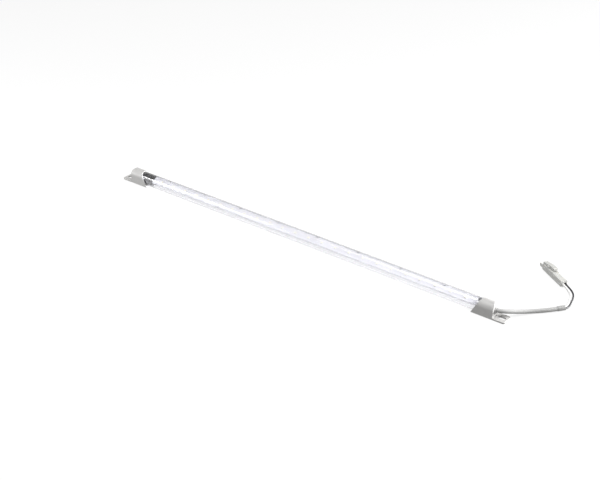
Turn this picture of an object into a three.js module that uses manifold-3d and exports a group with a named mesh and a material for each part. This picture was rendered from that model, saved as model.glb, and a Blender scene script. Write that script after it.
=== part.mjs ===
// A slim LED light bar for a heated food display: a clear arched tube that holds a row of LEDs on
// a board under clear potting, two end caps with slotted screw ears, and a short lead that ends in
// a latching plug.
// Millimetres. X runs along the bar, +Z is the way the light leaves, and z = 0 is the plane that
// the ears are screwed to. The origin is under the middle of the bar. The lead leaves at +X.

import * as THREE from 'three';
import { mergeVertices } from 'three/addons/utils/BufferGeometryUtils.js';
import Module from 'manifold-3d';

const wasm = await Module();
wasm.setup();

// ---------- driving dimensions ----------

// Whole bar
const overallLength = 580;        // ear tip to ear tip

// End caps
const capWidth = 16;
const capHeight = 18.6;
const capWall = 1.0;
const earLength = 15;             // flat ear outside the cap's closed end
const earThickness = 2.0;         // also the floor of the cap
const earCornerRadius = 2.2;
const slotWidth = 5.0;
const slotLength = 9.0;
const slotFromTip = 7;            // ear tip to the slot's middle
const endWall = 1.6;              // closed end of the cap
const endRounding = 3;            // rounded top edge of the closed end
const mouthReach = 27.8;          // closed end to the mouth's lower lip
const mouthLean = 10.2;           // the lower lip reaches this much further than the upper one
const chamberDepth = 7.3;         // wiring space between the closed end and the tube's stop
const stopStep = 1.2;             // width of the shoulder that the gasket sits on

// Clear tube
const tubeClearance = 0.2;        // all round, between the tube and the caps
const tubeWall = 0.9;
const tubeCornerRadius = 2.8;     // the two lower corners
const ribDepth = 1.0;             // ledges that carry the board's edges
const ribHeight = 0.7;

// Gaskets
const gasketThickness = 1.6;
const gasketGap = 0.2;            // to the shoulder and to the tube's end

// LED board
const boardThickness = 1.2;
const boardSideGap = 0.3;         // board edge to the tube's inner wall
const boardRestGap = 0.1;         // board to the ledges
const boardBlankEnd = 52;         // ear tip to board at the end without the lead
const boardLeadEnd = 28.5;        // ear tip to board at the lead's end
const seatGap = 0.05;             // solder film under each component

// Potting over the board
const pottingGap = 0.05;          // to the tube and to the board
const pottingRoom = 0.1;          // over the components that it covers
const wirePocketWidth = 8.6;      // where it leaves room for the wires and their joints

// Dam in the tube's blank end, which holds the poured resin back
const damSideGap = 0.1;           // to the ledges
const damGap = 0.2;               // to the board
const damLift = 0.5;              // above the tube's inner floor

// LEDs and their resistors
const ledCount = 24;
const ledLength = 3.5;
const ledWidth = 2.8;
const ledHeight = 0.8;
const ledBevel = 0.25;
const ledBlankMargin = 14;        // board end to the first LED
const ledLeadMargin = 25;         // last LED to the board's end at the lead
const ledsPerResistor = 3;
const resistorLength = 3.2;
const resistorWidth = 1.6;
const resistorHeight = 0.6;
const resistorOffset = 3.4;       // from the row of LEDs

// Lead
const leadHeightShare = 0.46;     // of the wiring space's height, up to the lead's hole
const jacketDiameter = 5.0;
const wireDiameter = 2.1;
const surfaceGap = 0.05;          // under whatever lies on the surface
const cordGap = 0.3;              // around the cord, wherever it passes through something

// Wires inside the cap and their joints on the board
const jointFromBoardEnd = 10;
const solderLength = 2.8;
const solderWidth = 2.6;
const solderHeight = 1.2;

// Grommet and strain relief
const grommetNeckWall = 0.8;
const grommetFlangeWidth = 0.9;   // beyond the neck
const grommetFlangeDepth = 1.0;
const grommetFit = 0.1;
const tieWidth = 1.8;
const tieThickness = 0.8;
const tieHead = 2.4;
const tieGap = 0.4;               // along the lead, to the grommet and to the jacket's end

// Sleeve over the jacket's outer end
const sleeveWall = 0.25;
const sleeveGap = 0.15;           // to the jacket
const sleeveLength = 9.6;
const sleeveOverhang = 0.6;       // beyond the jacket's end

// Plug
const plugRearLength = 20;
const plugFrontLength = 23;
const plugArmLength = 6;
const plugRearWidth = 7.8;
const plugFrontWidth = 8;
const plugRearHeight = 7.4;
const plugFrontHeight = 8;
const plugLift = 0.2;             // above the surface that the bar lies on
const plugEdge = 0.6;             // broken long edges of the housing
const plugWall = 1.2;
const plugArmHeight = 4;
const mouthDepth = 13;
const contactSpacing = 3.3;
const contactHeight = 3.8;
const pinDiameter = 1.6;
const pinSetback = 2;             // pin tip inside the mouth
const crimpDiameter = 1.9;
const crimpStart = 5;             // rear face to the contact
const crimpEnd = 28;
const partGap = 0.3;              // between the plug's pieces

// Latch lever on the plug
const pivotFromRear = 31;
const pivotAbove = 1.3;           // axis above the housing's front part
const trunnionDiameter = 1.6;
const latchWidth = 5.2;
const latchEarThickness = 1.0;
const latchEarLength = 4;
const thumbHeight = 4.9;          // thumb pad above the housing's front part
const thumbReach = 10.8;          // pivot to the thumb end
const noseReach = 13.6;           // pivot to the nose

// The lead's route, from the right ear's tip. It leaves the cap, bends down beside the ear and
// lies on the surface; the two wires then swing round to the plug. Each point is X, Y and then
// two shares: how far it is up towards where that stretch starts, and towards where it ends.
const jacketPlan = [
  [-20.4, 0, 1, 0], [-17.4, 0, 1, 0], [-14.6, 0, 1, 0], [-12.4, 0.3, 1, 0], [-10.2, 1.3, 0.985, 0],
  [-8.0, 3.0, 0.94, 0], [-5.8, 5.2, 0.86, 0], [-3.5, 8.0, 0.75, 0], [-0.8, 11.8, 0.61, 0],
  [2.2, 16.2, 0.43, 0], [5.6, 21.0, 0.26, 0], [9.4, 26.1, 0.11, 0], [13.4, 30.8, 0.03, 0],
  [17.5, 34.9, 0, 0], [21.6, 38.9, 0, 0.1], [25.7, 42.9, 0, 0.4], [29.7, 47.2, 0, 0.8],
  [33.4, 51.6, 0, 1], [36.4, 55.4, 0, 1], [39.4, 59.2, 0, 1],
];
const blackPlan = [
  [40.7, 58.9, 1, 0], [41.4, 61.6, 0.75, 0], [41.4, 65.2, 0.35, 0], [40.7, 69.6, 0.08, 0],
  [39.6, 74.5, 0, 0], [38.4, 79.6, 0, 0], [37.0, 84.7, 0, 0], [35.0, 89.6, 0, 0],
  [32.4, 93.9, 0, 0.04], [29.2, 97.2, 0, 0.18], [25.8, 99.3, 0, 0.46], [22.4, 100.9, 0, 0.75],
  [19.9, 102.3, 0, 0.93], [17.5, 103.9, 0, 1], [14.15, 106.05, 0, 1],
];
const whitePlan = [
  [38.6, 60.5, 1, 0], [38.8, 62.7, 0.75, 0], [38.7, 65.6, 0.35, 0], [37.9, 69.6, 0.08, 0],
  [36.7, 74.0, 0, 0], [35.5, 78.8, 0, 0], [34.1, 83.6, 0, 0], [32.3, 88.0, 0, 0],
  [29.8, 91.7, 0, 0.04], [26.8, 94.4, 0, 0.18], [23.8, 96.4, 0, 0.46], [20.6, 98.1, 0, 0.75],
  [18.1, 99.5, 0, 0.93], [15.7, 101.1, 0, 1], [12.35, 103.25, 0, 1],
];
const plugOrigin = [16.6, 102.5, 0];   // middle of the rear face, from the right ear's tip
const plugTurn = THREE.MathUtils.degToRad(147.1);

// ---------- values that follow ----------

const halfLength = overallLength / 2;
const mouthLip = earLength + mouthReach;
const mouthTop = mouthLip - mouthLean;
const chamberStart = earLength + endWall;
const chamberEnd = chamberStart + chamberDepth;

const socket = { half: capWidth / 2 - capWall, low: earThickness, high: capHeight - capWall };
const chamber = {
  half: socket.half - stopStep,
  low: socket.low + stopStep,
  high: socket.high - stopStep,
};
const tubeOuter = {
  half: socket.half - tubeClearance,
  low: socket.low + tubeClearance,
  high: socket.high - tubeClearance,
  corner: tubeCornerRadius,
};
const tubeInner = {
  half: tubeOuter.half - tubeWall,
  low: tubeOuter.low + tubeWall,
  high: tubeOuter.high - tubeWall,
  corner: Math.max(tubeOuter.corner - tubeWall, 0.2),
};
const gasketStart = chamberEnd + gasketGap;
const tubeStart = gasketStart + gasketThickness + gasketGap;

const boardTop = tubeInner.high - tubeInner.half;   // level with the middle of the arch
const boardBottom = boardTop - boardThickness;
const boardHalfWidth = tubeInner.half - boardSideGap;
const boardFrom = -halfLength + boardBlankEnd;
const boardTo = halfLength - boardLeadEnd;
const componentLevel = boardTop + seatGap;
const wireLevel = componentLevel + wireDiameter / 2 + cordGap;
const solderFrom = -boardLeadEnd - jointFromBoardEnd;
const firstLed = boardFrom + ledBlankMargin;
const ledPitch = (boardTo - ledLeadMargin - firstLed) / (ledCount - 1);

const leadHeight = chamber.low + (chamber.high - chamber.low) * leadHeightShare;
const jacketBore = jacketDiameter / 2 + cordGap;
const sleeveBore = jacketDiameter / 2 + sleeveGap;
const sleeveOuter = sleeveBore + sleeveWall;
const grommetNeck = jacketBore + grommetNeckWall;
const grommetFlange = grommetNeck + grommetFlangeWidth;
const leadHole = grommetNeck + grommetFit;

/** Route points with real heights: lying on the surface, or up towards one end or the other. */
function routeOf(plan, lying, first, last) {
  return plan.map(([x, y, towardsFirst, towardsLast]) =>
    [x, y, lying + towardsFirst * (first - lying) + towardsLast * (last - lying)]);
}

const jacketLying = jacketDiameter / 2 + surfaceGap;
const sleeveLying = sleeveOuter + surfaceGap;
const wireLying = wireDiameter / 2 + surfaceGap;
const contactLevel = plugLift + contactHeight;
const jacketRoute = routeOf(jacketPlan, jacketLying, leadHeight, sleeveLying);
const blackRoute = routeOf(blackPlan, wireLying, sleeveLying, contactLevel);
const whiteRoute = routeOf(whitePlan, wireLying, sleeveLying, contactLevel);

// ---------- materials ----------

const finish = (color, roughness, metalness = 0) =>
  new THREE.MeshStandardMaterial({ color, roughness, metalness });
const capPlastic = finish(0xc9c9c6, 0.45);
const clearPlastic = new THREE.MeshStandardMaterial({
  color: 0xf4f6f8, roughness: 0.08, metalness: 0, transparent: true, opacity: 0.3,
});
const pottingResin = new THREE.MeshStandardMaterial({
  color: 0xf2f4f7, roughness: 0.1, metalness: 0, transparent: true, opacity: 0.3,
});
const gasketRubber = finish(0xa8a8a6, 0.8);
const darkFoam = finish(0x3c3c3e, 0.9);
const boardWhite = finish(0xf2f2ee, 0.4);
const ledBody = finish(0xf1e7a8, 0.35);
const resistorBlack = finish(0x1c1c1e, 0.5);
const solderMetal = finish(0xc8c8cc, 0.3, 0.9);
const greyJacket = finish(0xd2d2d0, 0.55);
const blackInsulation = finish(0x1c1b20, 0.45);
const whiteInsulation = finish(0xf0f0ee, 0.5);
const nylon = finish(0xe4e4df, 0.45);
const tinPlate = finish(0xd8d4c8, 0.25, 1);

// ---------- shared geometry ----------

/** A closed manifold from a closed three.js geometry. */
function solid(geometry) {
  const plain = geometry.clone();
  plain.deleteAttribute('normal');
  plain.deleteAttribute('uv');
  const merged = mergeVertices(plain, 1e-4);
  return new wasm.Manifold(new wasm.Mesh({
    numProp: 3,
    vertProperties: new Float32Array(merged.attributes.position.array),
    triVerts: new Uint32Array(merged.index.array),
  }));
}

/** The three.js geometry of a manifold. */
function geometryOf(manifold) {
  const mesh = manifold.getMesh();
  const geometry = new THREE.BufferGeometry();
  geometry.setAttribute('position', new THREE.BufferAttribute(mesh.vertProperties, 3));
  geometry.setIndex(new THREE.BufferAttribute(mesh.triVerts, 1));
  geometry.computeVertexNormals();
  return geometry;
}

function joined(first, ...others) {
  return others.reduce((sum, other) => sum.add(solid(other)), solid(first));
}

function cut(body, ...tools) {
  return tools.reduce((rest, tool) => rest.subtract(solid(tool)), body);
}

/** Box from its lowest and highest corners. */
function box([x0, y0, z0], [x1, y1, z1]) {
  const geometry = new THREE.BoxGeometry(x1 - x0, y1 - y0, z1 - z0);
  return geometry.translate((x0 + x1) / 2, (y0 + y1) / 2, (z0 + z1) / 2);
}

/** Section drawn in (Y, Z), run along X from one place to another. */
function alongX(shape, from, to, curveSegments = 20) {
  const run = new THREE.ExtrudeGeometry(shape, {
    depth: to - from, bevelEnabled: false, curveSegments,
  });
  const turn = new THREE.Matrix4().makeBasis(
    new THREE.Vector3(0, 1, 0), new THREE.Vector3(0, 0, 1), new THREE.Vector3(1, 0, 0));
  return run.applyMatrix4(turn).translate(from, 0, 0);
}

/** Outline drawn in (X, Z), run along Y, centred on y = 0. */
function acrossY(shape, width, curveSegments = 10) {
  const run = new THREE.ExtrudeGeometry(shape, { depth: width, bevelEnabled: false, curveSegments });
  const turn = new THREE.Matrix4().makeBasis(
    new THREE.Vector3(1, 0, 0), new THREE.Vector3(0, 0, 1), new THREE.Vector3(0, -1, 0));
  return run.applyMatrix4(turn).translate(0, width / 2, 0);
}

/** Plan drawn in (X, Y), raised from one level to another. */
function raised(shape, low, high) {
  const run = new THREE.ExtrudeGeometry(shape, {
    depth: high - low, bevelEnabled: false, curveSegments: 10,
  });
  return run.translate(0, 0, low);
}

/** Cylinder along X. */
function rodX(radius, from, to, height, sides = 24) {
  const rod = new THREE.CylinderGeometry(radius, radius, to - from, sides);
  return rod.rotateZ(Math.PI / 2).translate((from + to) / 2, 0, height);
}

/** Closed profile of [radius, distance] pairs, turned about the X axis. */
function turnedX(profile, sides = 24) {
  const points = profile.map(([radius, along]) => new THREE.Vector2(radius, along));
  points.push(points[0].clone());
  return new THREE.LatheGeometry(points, sides).rotateZ(-Math.PI / 2);
}

/** Straight sides under a full half-round top, with optional rounded lower corners. */
function archShape({ half, low, high, corner = 0 }) {
  const shape = new THREE.Shape();
  shape.moveTo(-half + corner, low);
  shape.lineTo(half - corner, low);
  if (corner) shape.absarc(half - corner, low + corner, corner, -Math.PI / 2, 0, false);
  shape.lineTo(half, high - half);
  shape.absarc(0, high - half, half, 0, Math.PI, false);
  if (corner) {
    shape.lineTo(-half, low + corner);
    shape.absarc(-half + corner, low + corner, corner, Math.PI, 1.5 * Math.PI, false);
  } else {
    shape.lineTo(-half, low);
  }
  return shape;
}

function roundedRectangle(x0, y0, x1, y1, radius) {
  const shape = new THREE.Shape();
  shape.moveTo(x0 + radius, y0);
  shape.lineTo(x1 - radius, y0);
  shape.absarc(x1 - radius, y0 + radius, radius, -Math.PI / 2, 0, false);
  shape.lineTo(x1, y1 - radius);
  shape.absarc(x1 - radius, y1 - radius, radius, 0, Math.PI / 2, false);
  shape.lineTo(x0 + radius, y1);
  shape.absarc(x0 + radius, y1 - radius, radius, Math.PI / 2, Math.PI, false);
  shape.lineTo(x0, y0 + radius);
  shape.absarc(x0 + radius, y0 + radius, radius, Math.PI, 1.5 * Math.PI, false);
  return shape;
}

/** Round section run along a smooth line through the given points. */
function cord(route, diameter, sides, steps) {
  const points = route.map((point) => new THREE.Vector3(...point));
  const section = new THREE.Shape();
  for (let side = 0; side < sides; side += 1) {
    const angle = (2 * Math.PI * side) / sides;
    const [u, v] = [Math.cos(angle) * diameter / 2, Math.sin(angle) * diameter / 2];
    if (side === 0) section.moveTo(u, v);
    else section.lineTo(u, v);
  }
  section.closePath();
  return new THREE.ExtrudeGeometry(section, {
    steps, bevelEnabled: false, extrudePath: new THREE.CatmullRomCurve3(points, false, 'centripetal'),
  });
}

const lightBar = new THREE.Group();

function place(parent, name, geometry, material) {
  const mesh = new THREE.Mesh(geometry, material);
  mesh.name = name;
  parent.add(mesh);
  return mesh;
}

// ---------- end caps ----------
// Each cap is drawn with its ear's tip at x = 0 and its mouth towards +X.

/** Side view of the cap: rounded top edge at the closed end, leaning mouth at the other. */
function capSide() {
  const side = new THREE.Shape();
  side.moveTo(earLength, 0);
  side.lineTo(mouthLip, 0);
  side.lineTo(mouthTop, capHeight);
  side.lineTo(earLength + endRounding, capHeight);
  side.absarc(earLength + endRounding, capHeight - endRounding, endRounding,
    Math.PI / 2, Math.PI, false);
  return side;
}

/** Obround through the ear, along X. */
function screwSlot() {
  const reach = (slotLength - slotWidth) / 2;
  const slot = new THREE.Shape();
  slot.moveTo(slotFromTip - reach, -slotWidth / 2);
  slot.lineTo(slotFromTip + reach, -slotWidth / 2);
  slot.absarc(slotFromTip + reach, 0, slotWidth / 2, -Math.PI / 2, Math.PI / 2, false);
  slot.lineTo(slotFromTip - reach, slotWidth / 2);
  slot.absarc(slotFromTip - reach, 0, slotWidth / 2, Math.PI / 2, 1.5 * Math.PI, false);
  return raised(slot, -1, earThickness + 1);
}

function endCap(withLead) {
  const outer = archShape({ half: capWidth / 2, low: 0, high: capHeight });
  const body = solid(alongX(outer, earLength, mouthLip, 28))
    .intersect(solid(acrossY(capSide(), capWidth + 2)));
  const ear = roundedRectangle(0, -capWidth / 2, chamberStart + earCornerRadius, capWidth / 2,
    earCornerRadius);
  const tools = [
    alongX(archShape(socket), chamberEnd, mouthLip + 1, 28),
    alongX(archShape(chamber), chamberStart, chamberEnd + 1, 20),
    screwSlot(),
  ];
  if (withLead) tools.push(rodX(leadHole, earLength - 1, chamberStart + 1, leadHeight, 32));
  return geometryOf(cut(body.add(solid(raised(ear, 0, earThickness))), ...tools));
}

/** Flat ring with the tube's own section, between the tube's end and the cap's shoulder. */
function gasket() {
  const ring = archShape(tubeOuter);
  ring.holes.push(archShape(tubeInner));
  return alongX(ring, gasketStart, gasketStart + gasketThickness, 14);
}

const leftEnd = new THREE.Group();
leftEnd.position.set(-halfLength, 0, 0);
const rightEnd = new THREE.Group();
rightEnd.position.set(halfLength, 0, 0);
rightEnd.rotation.z = Math.PI;
lightBar.add(leftEnd, rightEnd);

place(leftEnd, 'left_end_cap', endCap(false), capPlastic);
place(rightEnd, 'right_end_cap', endCap(true), capPlastic);
place(leftEnd, 'left_gasket', gasket(), gasketRubber);
place(rightEnd, 'right_gasket', gasket(), gasketRubber);

// ---------- clear tube ----------

/** Hollow arched tube with a ledge inside along each wall, which carries the board's edge. */
function clearTube() {
  const section = archShape(tubeOuter);
  section.holes.push(archShape(tubeInner));
  const [from, to] = [-halfLength + tubeStart, halfLength - tubeStart];
  const ribs = [];
  for (const side of [-1, 1]) {
    const edges = [side * (tubeInner.half - ribDepth), side * (tubeInner.half + tubeWall / 2)];
    const [y0, y1] = [Math.min(...edges), Math.max(...edges)];
    const top = boardBottom - boardRestGap;
    ribs.push(box([from, y0, top - ribHeight], [to, y1, top]));
  }
  return geometryOf(joined(alongX(section, from, to, 24), ...ribs));
}

place(lightBar, 'clear_tube', clearTube(), clearPlastic);

/** Clear resin that fills the arch above the board. A channel under it holds the components, and a
 * pocket at the lead's end holds the wires and their solder joints. */
function potting() {
  const [from, to] = [-halfLength + tubeStart, halfLength - tubeStart];
  const section = archShape({
    half: tubeInner.half - pottingGap,
    low: boardBottom,
    high: tubeInner.high - pottingGap,
  });
  const channel = resistorOffset + resistorWidth / 2 + pottingRoom;
  const channelTop = componentLevel + Math.max(ledHeight, resistorHeight) + pottingRoom;
  const pocketFrom = halfLength + solderFrom - solderLength - pottingRoom;
  return geometryOf(cut(solid(alongX(section, from, to, 20)),
    box([from - 1, -capWidth, boardBottom - 1], [to + 1, capWidth, boardTop + pottingGap]),
    box([boardFrom - 1, -channel, boardBottom], [boardTo + 1, channel, channelTop]),
    box([pocketFrom, -wirePocketWidth / 2, boardBottom],
      [to + 1, wirePocketWidth / 2, wireLevel + wireDiameter / 2 + cordGap])));
}

place(lightBar, 'board_potting', potting(), pottingResin);

const damHalf = tubeInner.half - ribDepth - damSideGap;
place(lightBar, 'end_dam', box(
  [-halfLength + tubeStart + pottingGap, -damHalf, tubeInner.low + damLift],
  [boardFrom - damGap, damHalf, boardTop]), darkFoam);

// ---------- LED board ----------

place(lightBar, 'led_board',
  box([boardFrom, -boardHalfWidth, boardBottom], [boardTo, boardHalfWidth, boardTop]), boardWhite);

/** Low block with bevelled upper edges. */
function ledPackage() {
  const [halfX, halfY] = [ledLength / 2 - ledBevel, ledWidth / 2 - ledBevel];
  const outline = new THREE.Shape([
    new THREE.Vector2(-halfX, -halfY), new THREE.Vector2(halfX, -halfY),
    new THREE.Vector2(halfX, halfY), new THREE.Vector2(-halfX, halfY),
  ]);
  return new THREE.ExtrudeGeometry(outline, {
    depth: ledHeight - 2 * ledBevel, bevelThickness: ledBevel, bevelSize: ledBevel, bevelSegments: 1,
  }).translate(0, 0, ledBevel);
}

for (let index = 0; index < ledCount; index += 1) {
  const number = String(index + 1).padStart(2, '0');
  place(lightBar, `led_${number}`, ledPackage(), ledBody)
    .position.set(firstLed + index * ledPitch, 0, componentLevel);
}

for (let group = 0; group < ledCount / ledsPerResistor; group += 1) {
  const middle = firstLed + (group * ledsPerResistor + 0.5) * ledPitch;
  place(lightBar, `resistor_${group + 1}`, box(
    [-resistorLength / 2, -resistorWidth / 2, 0],
    [resistorLength / 2, resistorWidth / 2, resistorHeight]), resistorBlack)
    .position.set(middle, resistorOffset, componentLevel);
}

// ---------- lead, from the right ear's tip ----------

const lead = new THREE.Group();
lead.position.set(halfLength, 0, 0);
lightBar.add(lead);

/** Grommet: a flange each side of the cap's closed end, joined by a neck. */
function grommet() {
  const outside = -earLength + grommetFit;
  const inside = -chamberStart - grommetFit;
  return turnedX([
    [jacketBore, outside + grommetFlangeDepth], [jacketBore, inside - grommetFlangeDepth],
    [grommetFlange, inside - grommetFlangeDepth], [grommetFlange, inside], [grommetNeck, inside],
    [grommetNeck, outside], [grommetFlange, outside],
    [grommetFlange - grommetFlangeDepth / 2, outside + grommetFlangeDepth],
  ], 32).translate(0, 0, leadHeight);
}

place(lead, 'cable_grommet', grommet(), capPlastic);

/** Nylon tie drawn round the jacket inside the cap, so that the lead can't be pulled out. */
function strainTie() {
  const to = -chamberStart - grommetFit - grommetFlangeDepth - tieGap;
  const from = to - tieWidth;
  const outer = jacketBore + tieThickness;
  const band = turnedX([[jacketBore, from], [outer, from], [outer, to], [jacketBore, to]], 28)
    .translate(0, 0, leadHeight);
  const head = box([from, -tieHead / 2, leadHeight + jacketBore + tieThickness / 2],
    [to, tieHead / 2, leadHeight + jacketBore + tieHead]);
  return geometryOf(joined(band, head));
}

place(lead, 'strain_tie', strainTie(), nylon);
place(lead, 'lead_jacket', cord(jacketRoute, jacketDiameter, 12, 26), greyJacket);

/** Shrunk sleeve over the jacket's outer end. */
function sleeve() {
  const end = new THREE.Vector3(...jacketRoute.at(-1));
  const before = new THREE.Vector3(...jacketRoute.at(-3));
  const turn = Math.atan2(end.y - before.y, end.x - before.x);
  const [from, to] = [sleeveOverhang - sleeveLength, sleeveOverhang];
  const wall = [[sleeveBore, from], [sleeveOuter, from], [sleeveOuter, to], [sleeveBore, to]];
  return turnedX(wall, 24)
    .rotateZ(turn).translate(end.x, end.y, end.z);
}

place(lead, 'lead_sleeve', sleeve(), greyJacket);
place(lead, 'wire_black', cord(blackRoute, wireDiameter, 8, 26), blackInsulation);
place(lead, 'wire_white', cord(whiteRoute, wireDiameter, 8, 26), whiteInsulation);

// The two wires go on inside the cap, over the end of the board to their solder joints.
for (const [colour, side, material] of [['black', 1, blackInsulation], ['white', -1, whiteInsulation]]) {
  const route = [
    [jacketRoute[0][0] - cordGap, side * 1.15, leadHeight],
    [jacketRoute[0][0] - 2.6, side * 1.3, leadHeight + 0.5],
    [jacketRoute[0][0] - 5, side * 1.8, (leadHeight + wireLevel) / 2 + 0.4],
    [-boardLeadEnd + 0.6, side * 2.2, wireLevel],
    [-boardLeadEnd - 3, side * 2.3, wireLevel],
    [solderFrom + cordGap, side * 2.3, wireLevel],
  ];
  place(lead, `board_wire_${colour}`, cord(route, wireDiameter, 8, 16), material);
  const joint = new THREE.SphereGeometry(1, 12, 8, 0, 2 * Math.PI, 0, Math.PI);
  joint.scale(solderLength / 2, solderWidth / 2, solderHeight);
  const above = box([-solderLength, -solderWidth, 0], [solderLength, solderWidth, solderHeight + 1]);
  place(lead, `solder_joint_${side > 0 ? 1 : 2}`,
    geometryOf(solid(joint.rotateX(Math.PI / 2)).intersect(solid(above))), solderMetal)
    .position.set(solderFrom - solderLength / 2, side * 2.3, componentLevel);
}

// ---------- plug ----------
// Drawn along +X with its rear face, where the wires enter, at x = 0.

const plug = new THREE.Group();
plug.position.set(...plugOrigin);
plug.rotation.z = plugTurn;
lead.add(plug);

const plugFrontEnd = plugRearLength + plugFrontLength;
const frontTop = plugLift + plugFrontHeight;
const pivotLevel = frontTop + pivotAbove;
function plugBlock(from, to, width, height) {
  const section = roundedRectangle(-width / 2, plugLift, width / 2, plugLift + height, plugEdge);
  return alongX(section, from, to, 4);
}

/** Round bar along Y through the latch's pivot. */
function pivotBar(radius, width) {
  return new THREE.CylinderGeometry(radius, radius, width, 20)
    .translate(pivotFromRear, 0, pivotLevel);
}

function plugHousing() {
  const earInside = latchWidth / 2 + partGap;
  const earTop = pivotLevel + trunnionDiameter / 2 + partGap + 0.5;
  const pieces = [
    plugBlock(plugRearLength - 1, plugFrontEnd, plugFrontWidth, plugFrontHeight),
  ];
  for (const side of [-1, 1]) {
    const outside = side * plugFrontWidth / 2;
    const inside = side * (plugFrontWidth / 2 - plugWall);
    pieces.push(box(
      [plugFrontEnd - 1, Math.min(inside, outside), contactLevel - plugArmHeight / 2],
      [plugFrontEnd + plugArmLength, Math.max(inside, outside), contactLevel + plugArmHeight / 2]));
    const earFaces = [side * earInside, side * (earInside + latchEarThickness)];
    pieces.push(box(
      [pivotFromRear - latchEarLength / 2, Math.min(...earFaces), frontTop - 1],
      [pivotFromRear + latchEarLength / 2, Math.max(...earFaces), earTop]));
  }
  const halfMouth = plugFrontWidth / 2 - plugWall;
  const mouth = box([plugFrontEnd - mouthDepth, -halfMouth, plugLift + plugWall],
    [plugFrontEnd + 1, halfMouth, frontTop - plugWall]);
  const bores = [-1, 1].map((side) => rodX(crimpDiameter / 2 + partGap, -1,
    plugFrontEnd - mouthDepth + 1, contactLevel, 20).translate(0, side * contactSpacing / 2, 0));
  const body = joined(plugBlock(0, plugRearLength, plugRearWidth, plugRearHeight), ...pieces);
  return geometryOf(cut(body, mouth, ...bores,
    pivotBar(trunnionDiameter / 2 + partGap, plugFrontWidth + 2)));
}

place(plug, 'plug_housing', plugHousing(), nylon);

/** Round contact: a crimped barrel behind, a pin with a rounded tip in the mouth. */
function contact() {
  const pinEnd = plugFrontEnd - pinSetback;
  const [barrel, pin] = [crimpDiameter / 2, pinDiameter / 2];
  const profile = [[0, crimpStart], [barrel, crimpStart], [barrel, crimpEnd], [pin, crimpEnd + 0.4]];
  for (let step = 0; step <= 4; step += 1) {
    const angle = (step / 4) * Math.PI / 2;
    profile.push([pin * Math.cos(angle), pinEnd - pin + pin * Math.sin(angle)]);
  }
  return new THREE.LatheGeometry(
    profile.map(([radius, along]) => new THREE.Vector2(Math.max(radius, 0), along)), 16)
    .rotateZ(-Math.PI / 2).translate(0, 0, contactLevel);
}

for (const side of [-1, 1]) {
  place(plug, `plug_contact_${side < 0 ? 1 : 2}`, contact(), tinPlate)
    .position.y = side * contactSpacing / 2;
}

/** Rocking latch lever: thumb pad behind the pivot, nose in front of it. */
function latch() {
  const [x, z] = [pivotFromRear, frontTop];
  const outline = new THREE.Shape([
    [x - thumbReach, z + 2.3], [x - 2.2, z + 1.2], [x - 1.0, z + 0.4], [x + 1.0, z + 0.4],
    [x + 2.2, z + 0.7], [x + noseReach - 1.3, z + 0.5], [x + noseReach - 1.2, z - 0.6],
    [x + noseReach, z + 0.4], [x + noseReach - 0.5, z + 1.4], [x + 8.2, z + 2.3],
    [x + 2.0, z + 3.6], [x - 4.0, z + thumbHeight - 0.4], [x - thumbReach + 1.2, z + thumbHeight],
    [x - thumbReach, z + thumbHeight - 0.8],
  ].map(([along, up]) => new THREE.Vector2(along, up)));
  const trunnion = pivotBar(trunnionDiameter / 2, latchWidth + 2 * (partGap + latchEarThickness));
  return geometryOf(joined(acrossY(outline, latchWidth), trunnion));
}

place(plug, 'plug_latch', latch(), nylon);

export default lightBar;
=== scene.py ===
"""A slim LED light bar with its lead and plug on a pale studio floor. Metres, in the part's frame."""
import math
import bmesh
import bpy
import numpy as np
from mathutils import Matrix, Vector


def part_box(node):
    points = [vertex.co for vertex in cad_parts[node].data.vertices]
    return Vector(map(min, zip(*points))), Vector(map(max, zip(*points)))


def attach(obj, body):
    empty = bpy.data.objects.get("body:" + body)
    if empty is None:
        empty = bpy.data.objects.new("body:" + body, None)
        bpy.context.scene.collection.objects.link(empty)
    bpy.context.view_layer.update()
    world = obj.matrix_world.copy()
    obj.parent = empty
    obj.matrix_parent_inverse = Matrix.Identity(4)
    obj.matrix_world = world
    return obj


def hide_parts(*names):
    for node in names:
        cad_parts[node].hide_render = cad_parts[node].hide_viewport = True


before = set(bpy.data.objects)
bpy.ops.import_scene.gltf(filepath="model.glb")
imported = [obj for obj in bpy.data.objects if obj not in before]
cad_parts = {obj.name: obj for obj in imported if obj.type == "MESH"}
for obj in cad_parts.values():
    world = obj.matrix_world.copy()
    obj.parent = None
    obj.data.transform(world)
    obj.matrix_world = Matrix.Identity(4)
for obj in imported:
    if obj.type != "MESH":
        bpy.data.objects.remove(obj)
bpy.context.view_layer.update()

# ---------------------------------------------------------------- camera
# A short-telephoto view along the bar from its lead end, a third of a right angle above the floor.
# It looks at a point just beside the bar's middle and leans by a tenth of a degree.
CAMERA_PLACE = Vector((0.80455, -1.05266, 0.76956))
CAMERA_AIM = Vector((-0.00158, 0.00489, 0.0))


def looking(place, aim):
    """The pose of a camera or lamp that stands at place and looks along its own -Z at aim."""
    return Matrix.Translation(place) @ (aim - place).to_track_quat("-Z", "Y").to_matrix().to_4x4()


camera_data = bpy.data.cameras.new("camera")
camera_data.sensor_width = 36.0
camera_data.lens = 74.98
camera_data.clip_start = 0.01
camera = bpy.data.objects.new("camera", camera_data)
bpy.context.collection.objects.link(camera)
camera.matrix_world = looking(CAMERA_PLACE, CAMERA_AIM) @ Matrix.Rotation(math.radians(-0.11), 4, "Z")
bpy.context.scene.camera = camera
bpy.context.scene.view_settings.view_transform = "Standard"

# ---------------------------------------------------------------- LED board
# A long, narrow strip of glass-epoxy laminate under white solder mask, with copper tracks that
# show faintly through the mask. It lies on the tube's two ledges and the potting holds it down.
MM = 0.001


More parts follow.
